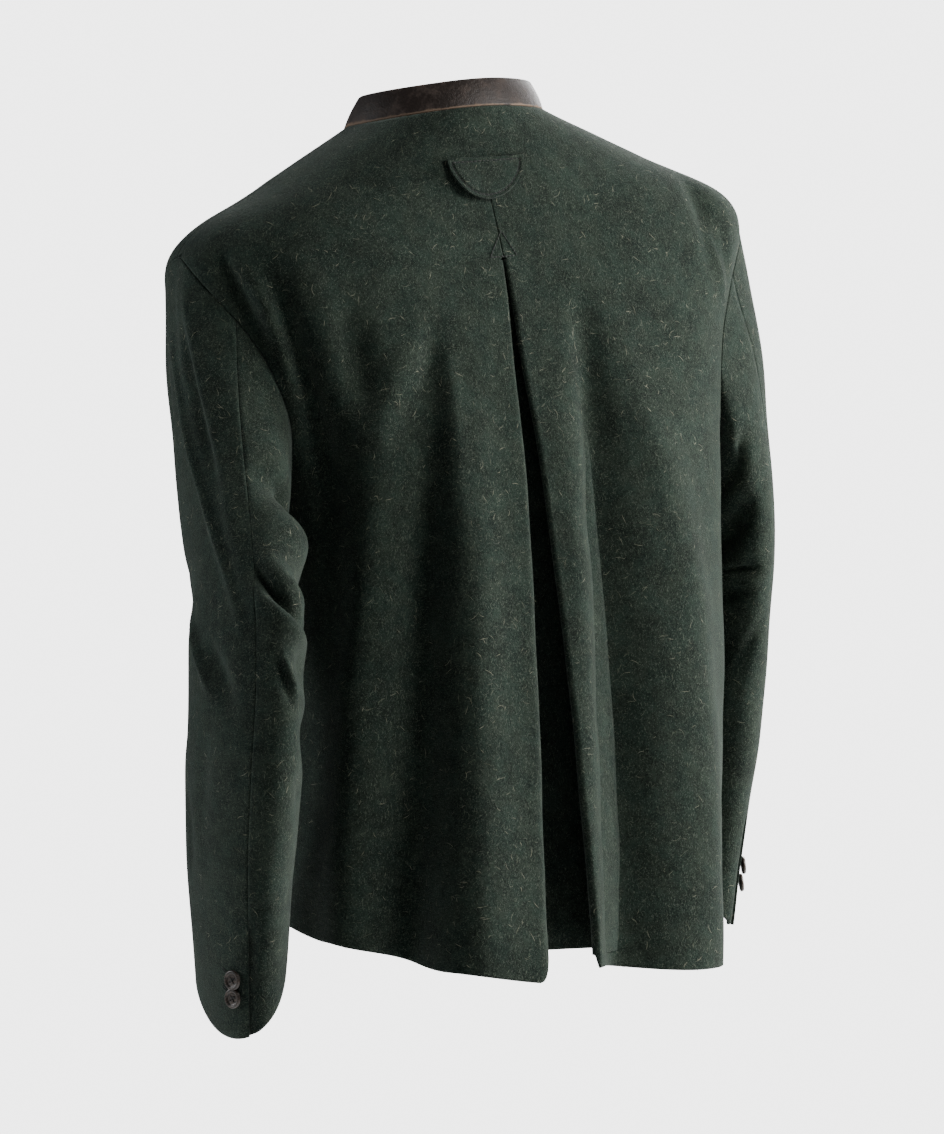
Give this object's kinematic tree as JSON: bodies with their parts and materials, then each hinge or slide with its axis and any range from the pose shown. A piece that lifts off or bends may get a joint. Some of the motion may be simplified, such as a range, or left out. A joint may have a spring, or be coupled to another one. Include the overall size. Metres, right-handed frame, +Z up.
{
  "type": "button-up jacket",
  "caption": "Loose hip-length felted wool jacket worn open at neck, hem and cuffs, with a leather band collar, an inverted back pleat and buttoned cuffs.",
  "frame": {"origin": "midway between the two neck points of the shoulder seams, where the wearer's shoulders and neck hold the jacket up", "axes": "+Z up, +Y towards the wearer's back, +X towards the wearer's left"},
  "size_m": [0.5509, 0.3223, 0.723],
  "materials": {
    "wool": "dark green felted wool melange with pale kemp hairs",
    "leather": "dark brown waxed leather, rubbed tan along its lower edge",
    "horn": "dark horn"
  },
  "bodies": {
    "root": {"back": "wool", "pleat_underlay": "wool", "front_left": "wool", "front_right": "wool", "left_sleeve_top": "wool", "left_sleeve_under": "wool", "right_sleeve_top": "wool", "right_sleeve_under": "wool", "back_tab": "wool", "collar": "leather", "front_button_1": "horn", "front_button_2": "horn", "front_button_3": "horn", "front_button_4": "horn", "front_button_5": "horn", "left_cuff_button_1": "horn", "left_cuff_button_2": "horn", "right_cuff_button_1": "horn", "right_cuff_button_2": "horn"}
  },
  "joints": []
}
